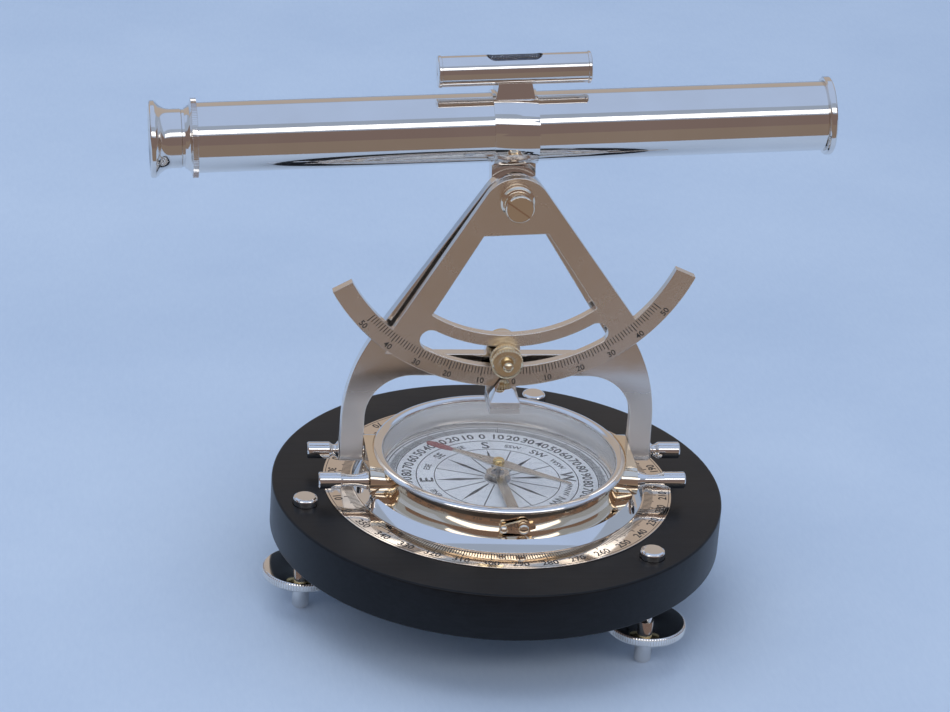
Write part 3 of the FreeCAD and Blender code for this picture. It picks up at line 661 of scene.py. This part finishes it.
# needle lock lever on the front of the bowl
lathe("lock_lever_screw_head", [
    (0, 64.0), (1.2, 64.0), (1.2, 68.35), (2.8, 68.35), (2.8, 70.0), (2.3, 70.9), (1.2, 71.4), (0, 71.5)],
    M_WARM, "turntable", T(4.0, 0, 72.5) @ AX_YN, ("lock_lever_screw",), seg=64, r=0.35)
cad_look("lock_lever", M_WARM, 0.45)

# ----------------------------------------------------------------- thumbscrews
for side, s in (("left", -1), ("right", 1)):
    for row, y, face, out in (("front", -17.3, 71.7, 98.2), ("rear", 17.3, 84.5, 101.3)):
        h0 = out - 12.6
        neck = h0 - face
        pts = [(0, 67.5), (2.5, 67.5), (2.5, face), (4.9, face), (4.9, face + 0.10 * neck), (3.85, face + 0.28 * neck),
               (3.4, face + 0.38 * neck), (3.15, face + 0.5 * neck), (3.1, face + 0.62 * neck), (3.25, face + 0.75 * neck),
               (3.55, face + 0.88 * neck), (3.95, h0), (4.5, h0 + 0.9), (4.5, out - 0.7), (3.8, out), (0, out)]
        lathe("thumbscrew_%s_%s" % (row, side), pts, M_TURN, "%s_thumbscrew_%s" % (row, side),
              T(0, y, 73.5) @ (AX_X if s > 0 else AX_XN), ("%s_screw_%s" % (row, side),), seg=80, r=0.3)

# ------------------------------------------------------------------ arch frame
th = 32.6
ca, sa = math.cos(rad(th)), math.sin(rad(th))
cxa, cza, ra = -10.8, 92.0, 95.0
tx, tz = cxa + ra * ca, cza + ra * sa
ax_z = 219.4
ax_r = tx * ca + (tz - ax_z) * sa
outer = [(84.2, 80.0), (84.2, cza)]
outer += arc_pts((cxa, cza), ra, 0, th, 26)
outer += arc_pts((0, ax_z), ax_r, th, 180 - th, 60)
outer += arc_pts((-cxa, cza), ra, 180 - th, 180, 26)
outer += [(-84.2, cza), (-84.2, 80.0), (-71.8, 80.0), (-71.8, 94.8)]
outer += arc_pts((-46.8, 94.8), 25.0, 180, 90, 30)
outer += arc_pts((46.8, 94.8), 25.0, 90, 0, 30)
outer += [(71.8, 80.0)]
w_top, w_bot, hw_top = 205.3, 132.6, 15.9
hw_bot = hw_top + (w_top - w_bot) * math.tan(rad(th))
win = [(hw_top, w_top), (-hw_top, w_top), (-hw_bot, w_bot), (-9.3, w_bot)]
win += arc_pts((0, CLAMP_Z), 9.3, 180, 0, 40)
win += [(9.3, w_bot), (hw_bot, w_bot)]
arch = plate("arch_casting", [outer, win, arc_pts((0, PIVOT), 9.0, 0, 360, 96), arc_pts((0, CLAMP_Z), 2.95, 0, 360, 48)],
             13.65, 6.3, M_ARCH, "arch", bevel=0.5)
# feet: eyes round the rear thumbscrews, swept up into the legs
for side, s in (("left", -1), ("right", 1)):
    bm = bmesh.new()
    prof = []
    for k in range(25):
        a = rad(180 + 180 * k / 24)
        prof.append((17.3 + 5.6 * math.cos(a), 73.5 + 5.6 * math.sin(a)))
    top = []
    for k in range(9):
        t = k / 8.0
        e = t * t * (3 - 2 * t)
        top.append((22.9 + (19.95 - 22.9) * e, 73.5 + 15.0 * t))
    prof += top[1:]
    back = []
    for k in range(9):
        t = k / 8.0
        e = t * t * (3 - 2 * t)
        back.append((11.7 + (13.65 - 11.7) * e, 73.5 + 15.0 * t))
    prof += back[::-1][:-1]
    hole = [(17.3 + 2.6 * math.cos(rad(t)), 73.5 + 2.6 * math.sin(rad(t))) for t in range(0, 360, 8)]
    edges = []
    for loop in (prof, hole):
        vs = [bm.verts.new((72.0, p[0], p[1])) for p in clean(loop)]
        for i in range(len(vs)):
            edges.append(bm.edges.new((vs[i], vs[(i + 1) % len(vs)])))
    bmesh.ops.triangle_fill(bm, use_beauty=True, use_dissolve=False, edges=edges)
    ext = bmesh.ops.extrude_face_region(bm, geom=bm.faces[:])
    bmesh.ops.translate(bm, vec=(12.15, 0, 0), verts=[g for g in ext["geom"] if isinstance(g, bmesh.types.BMVert)])
    if s < 0:
        bmesh.ops.scale(bm, vec=(-1, 1, 1), verts=bm.verts)
    bmesh.ops.recalc_face_normals(bm, faces=bm.faces)
    bmesh.ops.scale(bm, vec=(MM, MM, MM), verts=bm.verts)
    me = bpy.data.meshes.new("arch_foot_" + side)
    bm.to_mesh(me)
    bm.free()
    me.materials.append(M_ARCH)
    me.polygons.foreach_set("use_smooth", [True] * len(me.polygons))
    me.set_sharp_from_angle(angle=rad(30))
    o = bpy.data.objects.new("arch_foot_" + side, me)
    scene.collection.objects.link(o)
    add_bevel(o, 0.35, 3)
    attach(o, "arch")
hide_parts("arch_frame")
cad_look("index_bracket", M_ARCH, 0.3)
cad_look("index_pointer", M_TUBE, 0.2)
cad_look("index_screws", M_TURN, 0.15)
lathe("clamp_stud_and_disc", [
    (0, -9.2), (1.5, -9.05), (2.4, -8.5), (2.9, -7.6), (2.9, 19.95), (8.6, 19.95), (8.6, 22.6), (7.9, 23.0), (0, 23.0)],
    M_KNURL, "arch", T(0, 0, CLAMP_Z) @ AX_Y, ("clamp_bolt",), seg=96, r=0.4)
K0, K1 = 34, 34 * 10


def beads(r, h, k, seg):
    if r < 8.0:
        return r
    per = seg // 34
    t = (k % per) / per
    return r - 0.75 * (1 - math.sin(math.pi * t)) ** 1.5


kp = [(2.98, -4.75), (7.2, -4.75)]
for c in (-2.9, 2.9):
    for k in range(7):
        a = rad(-90 + 30 * k)
        kp.append((7.4 + 1.2 * math.cos(a), c + 1.75 * math.sin(a)))
kp += [(7.2, 5.1), (2.98, 5.1)]
lathe("clamp_knurled_knob", kp, M_KNURL, "clamp", T(0, 0, CLAMP_Z) @ AX_Y, ("clamp_knob",), seg=K1, r=0.15, steps=2, mod=beads)

# --------------------------------------------------------- limb and its scale
R_OUT, R_ARC, R_SLOT, R_UP, HALF = 107.4, 95.7, 84.1, 77.2, 63.4
leg, lt = 42.15, 33.1
lca, lsa = math.cos(rad(lt)), math.sin(rad(lt))


def lpt(r, d):
    return (r * math.sin(rad(d)), -r * math.cos(rad(d)))


def down(r, d0, d1, n=None):
    n = n or max(4, int(abs(d1 - d0) / 1.0))
    return [lpt(r, d0 + (d1 - d0) * k / n) for k in range(n + 1)]


lx, lz = lpt(R_ARC, leg)
ar = lx * lca + (lz + 5.6) * lsa
lo_ = down(R_OUT, -HALF, HALF)
lo_ += down(R_ARC, HALF, leg)
lo_ += arc_pts((0, -5.6), ar, lt, 180 - lt, 60)
lo_ += down(R_ARC, -leg, -HALF)
sm, sr, sc = (R_ARC + R_SLOT) / 2, (R_ARC - R_SLOT) / 2, 29.5
cr_, cl_ = lpt(sm, sc), lpt(sm, -sc)
slot_ = down(R_ARC, -sc, sc)
slot_ += arc_pts(cr_, sr, sc - 90, sc + 90, 24)
slot_ += down(R_SLOT, sc, -sc)
slot_ += arc_pts(cl_, sr, 90 - sc, 270 - sc, 24)
tw = 34.4
win_ = [(-16.8, -19.7), (16.8, -19.7)] + down(R_UP, tw, -tw)
limb = plate("limb_graduated_sector", [lo_, slot_, win_, arc_pts((0, 0), 4.0, 0, 360, 48)], 5.25, 5.0, M_LIMB,
             "telescope", LIMB, ("limb_sector",), bevel=0.45)
FACE = LIMB @ T(0, 5.25, 0) @ AX_YN      # local XY lies on the limb's front face, Z points out
LZ_ = (-0.02, 0.03)
ls = Ink()
for d in range(-50, 51):
    r0 = R_ARC + 0.7
    r1 = r0 + (5.2 if d % 10 == 0 else 4.6 if d % 5 == 0 else 3.9)
    ls.line(lpt(r0, d), lpt(r1, d), 0.50 if d % 10 == 0 else 0.42, FACE, *LZ_)
for n in range(-50, 51, 10):
    m = FACE @ Matrix.Rotation(rad(n), 4, "Z") @ T(0, -104.2, 0)
    ls.text(str(abs(n)), 3.3, m, *LZ_)
ls.make("limb_scale", M_INK, "telescope")

lathe("pivot_hub_boss", [
    (4.0, 10.25), (13.0, 10.25), (13.0, 13.55), (8.95, 13.55), (8.95, 20.35), (4.0, 20.35)], M_TURN, "telescope",
    LIMB @ AX_Y, ("pivot_hub",), seg=96, r=0.25)
ps = lathe("pivot_slotted_screw", [
    (0, -7.0), (6.9, -7.0), (7.5, -6.3), (7.5, -0.6), (6.6, -0.1), (6.6, 1.1), (7.9, 1.6), (9.0, 2.6),
    (9.0, 5.25), (4.0, 5.25), (4.0, 27.5), (0, 27.5)], M_WARM, "telescope", LIMB @ AX_Y, seg=120, r=0.45, steps=4)
bm = bmesh.new()
sv = [bm.verts.new((x, y, z)) for x in (-10.0, 10.0) for y in (-7.8, -5.2) for z in (-0.9, 0.9)]
for q in ((0, 1, 3, 2), (4, 6, 7, 5), (0, 4, 5, 1), (2, 3, 7, 6), (0, 2, 6, 4), (1, 5, 7, 3)):
    bm.faces.new([sv[i] for i in q])
bmesh.ops.recalc_face_normals(bm, faces=bm.faces)
bm.transform(Matrix.Scale(MM, 4) @ LIMB @ Matrix.Rotation(rad(38), 4, "Y"))
me = bpy.data.meshes.new("screw_slot_cutter")
bm.to_mesh(me)
bm.free()
cutter = bpy.data.objects.new("screw_slot_cutter", me)
scene.collection.objects.link(cutter)
boolean_apply(ps, cutter)
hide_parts("pivot_screw")

# ------------------------------------------------------------------- telescope
lathe("telescope_barrel", [(16.6, -163.7), (18.15, -163.7), (18.15, 165.5), (16.6, 165.5)], M_TUBE, "telescope",
      TUBE, ("telescope_tube",), seg=256, r=0.2)
lathe("objective_cell", [
    (18.15, 163.5), (19.9, 163.5), (20.5, 164.3), (20.5, 166.6), (20.0, 167.2), (19.2, 167.5), (16.1, 167.5),
    (15.4, 166.8), (15.4, 165.5), (18.15, 165.5)], M_TURN, "telescope", TUBE, ("objective_ring",), seg=192, r=0.4, steps=4)
cad_look("objective_lens", M_LENS)
fl = [(14.95, -170.2), (15.5, -170.2), (16.2, -169.0), (17.4, -167.6), (18.9, -166.8), (20.5, -166.5),
      (20.5, -163.7), (18.16, -163.7), (16.6, -163.7), (16.6, -150.0), (14.95, -150.0)]
lathe("eyepiece_reeded_flange", fl, M_TURN, "telescope", TUBE, ("eyepiece_flange",), seg=120 * 6, r=0.2,
      mod=knurl(120, 0.35, 20.2))
cad_look("draw_tube", M_TURN)
cup = [(6.0, -183.4), (9.5, -184.2), (13.4, -185.8), (16.6, -188.0), (19.3, -188.0), (19.95, -187.3), (19.95, -185.3)]
for k in range(1, 12):
    t = k / 12.0
    cup.append((15.3 + 4.2 * (1 - t) ** 2.2, -184.6 + 7.6 * t))
cup += [(15.3, -177.0), (15.3, -172.0), (14.9, -171.5), (10.0, -171.5), (10.0, -178.0), (6.0, -178.0)]
lathe("eyepiece_cup_turned", cup, M_TURN, "eyepiece", TUBE, ("eyepiece_cup",), seg=192, r=0.35)
cad_look("eye_lens", M_LENS)
cad_look("telescope_saddle", M_TUBE, 0.3)
cad_look("level_saddle", M_TURN, 0.3)

lv = lathe("level_case", [(6.2, -37.75), (8.0, -37.75), (8.0, 37.75), (6.2, 37.75)], M_TUBE, "telescope",
           LIMB @ T(0, TUBE_Y, LEVEL_W) @ AX_X, seg=128, r=0.1)
bm = bmesh.new()
ow = []
for k in range(64):
    a = 2 * math.pi * k / 64
    x = 10.0 * (1 if math.cos(a) > 0 else -1) + 4.5 * math.cos(a)
    ow.append((x, TUBE_Y + 4.5 * math.sin(a)))
vs = [bm.verts.new((x, y, LEVEL_W + 0.5)) for x, y in ow]
f = bm.faces.new(vs)
ext = bmesh.ops.extrude_face_region(bm, geom=[f])
bmesh.ops.translate(bm, vec=(0, 0, 12.0), verts=[g for g in ext["geom"] if isinstance(g, bmesh.types.BMVert)])
bmesh.ops.recalc_face_normals(bm, faces=bm.faces)
bm.transform(Matrix.Scale(MM, 4) @ LIMB)
me = bpy.data.meshes.new("level_window_cutter")
bm.to_mesh(me)
bm.free()
cutter = bpy.data.objects.new("level_window_cutter", me)
scene.collection.objects.link(cutter)
boolean_apply(lv, cutter)
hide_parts("level_tube")
for i, s in enumerate((-1, 1)):
    lathe("level_end_cap_%d" % i, [
        (0, 37.75), (8.0, 37.75), (8.35, 38.0), (8.35, 39.3), (7.7, 39.75), (2.6, 39.75), (2.2, 39.5), (0, 39.5)],
        M_TURN, "telescope", LIMB @ T(0, TUBE_Y, LEVEL_W) @ (AX_X if s > 0 else AX_XN),
        ("level_end_caps",) if i == 0 else (), seg=96, r=0.3)
cad_look("level_vial", M_VIAL)
nodes["level_vial"].visible_shadow = False
cad_look("level_liquid", M_LIQUID)

# ------------------------------------------------------------- set and lights


def emitter(name, verts, color):
    me = bpy.data.meshes.new(name)
    me.from_pydata(verts, [], [list(range(len(verts)))])
    m = bpy.data.materials.new(name)
    m.use_nodes = True
    nt = m.node_tree
    nt.nodes.clear()
    out = nt.nodes.new("ShaderNodeOutputMaterial")
    em = nt.nodes.new("ShaderNodeEmission")
    em.inputs["Color"].default_value = (*color, 1.0)
    nt.links.new(em.outputs[0], out.inputs["Surface"])
    me.materials.append(m)
    o = bpy.data.objects.new(name, me)
    scene.collection.objects.link(o)
    o.visible_camera = False
    o.visible_shadow = False
    o.visible_diffuse = False
    o.visible_transmission = False
    return o


# floor: pale blue cloth
me = bpy.data.meshes.new("floor_sheet")
S = 9.0
me.from_pydata([(-S, -S, 0), (S, -S, 0), (S, S, 0), (-S, S, 0)], [], [[0, 1, 2, 3]])
M_FLOOR, nt, b = new_mat("pale_floor")
soft = noise(nt, tex(nt), 5.0, 4.0, 0.55)
weave = noise(nt, tex(nt, (1.0, 0.25, 1.0)), 420.0, 2.0)
both = add_math(nt, "ADD", add_math(nt, "MULTIPLY", soft, 0.75), add_math(nt, "MULTIPLY", weave, 0.25))
nt.links.new(ramp(nt, both, [(0.34, (0.615, 0.72, 0.875)), (0.66, (0.69, 0.79, 0.93))]), b.inputs["Base Color"])
b.inputs["Roughness"].default_value = 0.9
b.inputs["Specular IOR Level"].default_value = 0.1
bump(nt, b, weave, 0.25, 0.0004)
me.materials.append(M_FLOOR)
floor = bpy.data.objects.new("floor_sheet", me)
scene.collection.objects.link(floor)

# plain one-colour cards out of the camera's sight, for the metal to mirror
WARM_GREY = (0.20, 0.15, 0.14)
emitter("card_front_wall", [(-4, -2.6, 0.0), (4, -2.6, 0.0), (4, -2.6, 1.6), (-4, -2.6, 1.6)], WARM_GREY)
for k, x in enumerate((-3.8, 3.8)):
    emitter("card_side_wall_%d" % k, [(x, -2.6, 0.0), (x, 0.6, 0.0), (x, 0.6, 1.6), (x, -2.6, 1.6)], WARM_GREY)
emitter("card_front_floor", [(-4, -2.6, 0.002), (4, -2.6, 0.002), (4, -0.225, 0.002), (-4, -0.225, 0.002)], (0.24, 0.19, 0.16))
emitter("card_back_wall", [(-4, 2.9, 0.55), (4, 2.9, 0.55), (4, 2.9, 2.4), (-4, 2.9, 2.4)], (0.46, 0.41, 0.38))
emitter("card_sky", [(-4, -1.5, 2.7), (4, -1.5, 2.7), (4, 3.0, 2.7), (-4, 3.0, 2.7)], (0.45, 0.58, 0.85))


def area(name, loc, target, sx, sy, power, color):
    l = bpy.data.lights.new(name, "AREA")
    l.shape = "RECTANGLE"
    l.size, l.size_y = sx, sy
    l.energy = power
    l.color = color
    o = bpy.data.objects.new(name, l)
    o.location = loc
    d = Vector(target) - Vector(loc)
    o.rotation_euler = d.to_track_quat("-Z", "Y").to_euler()
    scene.collection.objects.link(o)
    return o


area("strip_front", (0.0, -1.80, 1.66), (0, 0.0, 0.2), 5.0, 0.50, 15.0, (1.0, 0.99, 0.985))
top = area("soft_top", (-0.5, 0.35, 2.6), (0, 0, 0.1), 2.4, 2.4, 19.0, (0.90, 0.95, 1.0))
top.visible_glossy = False

w = bpy.data.worlds.new("sky_dome")
w.use_nodes = True
bg = w.node_tree.nodes["Background"]
bg.inputs["Color"].default_value = (0.46, 0.56, 0.74, 1.0)
bg.inputs["Strength"].default_value = 0.74
scene.world = w
scene.view_settings.view_transform = "Standard"
scene.view_settings.look = "None"

# --------------------------------------------------------------------- camera
az, el, roll = rad(9.0425), rad(25.623), rad(4.187)
right = Vector((math.cos(az), -math.sin(az), 0))
fwd = Vector((math.sin(az) * math.cos(el), math.cos(az) * math.cos(el), -math.sin(el)))
up = right.cross(fwd)
R = right * math.cos(roll) + up * math.sin(roll)
U = -right * math.sin(roll) + up * math.cos(roll)
cam = bpy.data.cameras.new("view")
cam.sensor_fit = "HORIZONTAL"
cam.sensor_width = 36.0
cam.lens = 3487.0 / 950.0 * 36.0
cam.clip_start = 0.05
cam.clip_end = 60.0
co = bpy.data.objects.new("view", cam)
m = Matrix((R, U, -fwd)).transposed().to_4x4()
m.translation = Vector((-0.27685, -1.63294, 0.93123))
co.matrix_world = m
scene.collection.objects.link(co)
scene.camera = co

bpy.context.view_layer.update()
